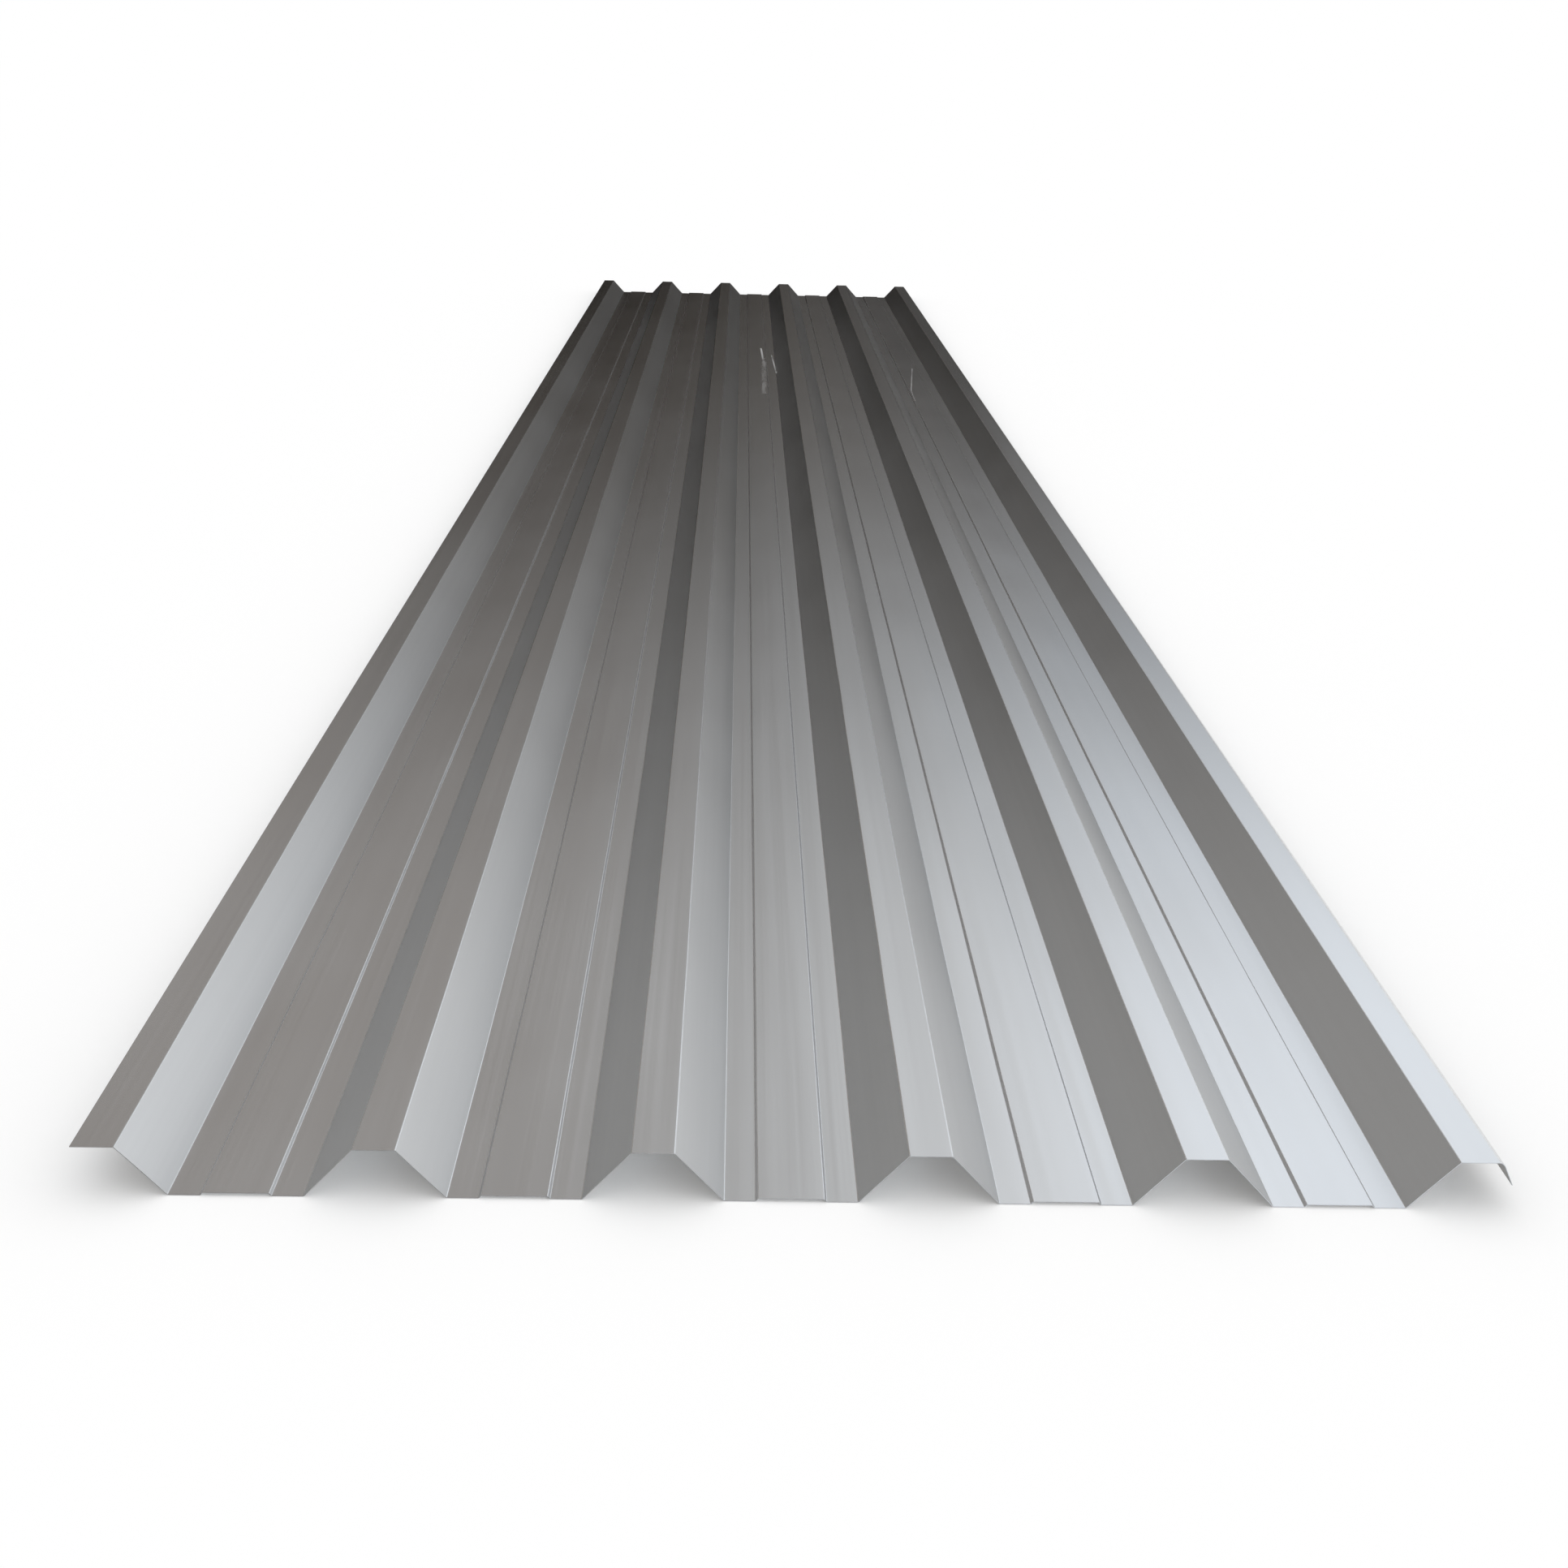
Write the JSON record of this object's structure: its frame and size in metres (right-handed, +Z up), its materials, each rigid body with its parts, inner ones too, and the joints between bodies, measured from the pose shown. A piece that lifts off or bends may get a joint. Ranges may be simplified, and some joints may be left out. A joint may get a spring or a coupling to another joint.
{
  "type": "corrugated metal sheet",
  "caption": "Long trapezoidal corrugated steel sheet with narrow crests, wide swaged pans, a bare lap edge and a lipped lap edge.",
  "frame": {"origin": "centre of the sheet's width and length, on the plane that the undersides of the pans rest on", "axes": "+X across the corrugations towards the lipped edge, +Y along the corrugations, +Z up from the pans to the crests"},
  "size_m": [1.04, 6, 0.0385],
  "materials": {
    "coated_steel": "smooth light grey metallic coating, semi-gloss"
  },
  "bodies": {
    "root": {"corrugated_sheet": "coated_steel"}
  },
  "joints": []
}
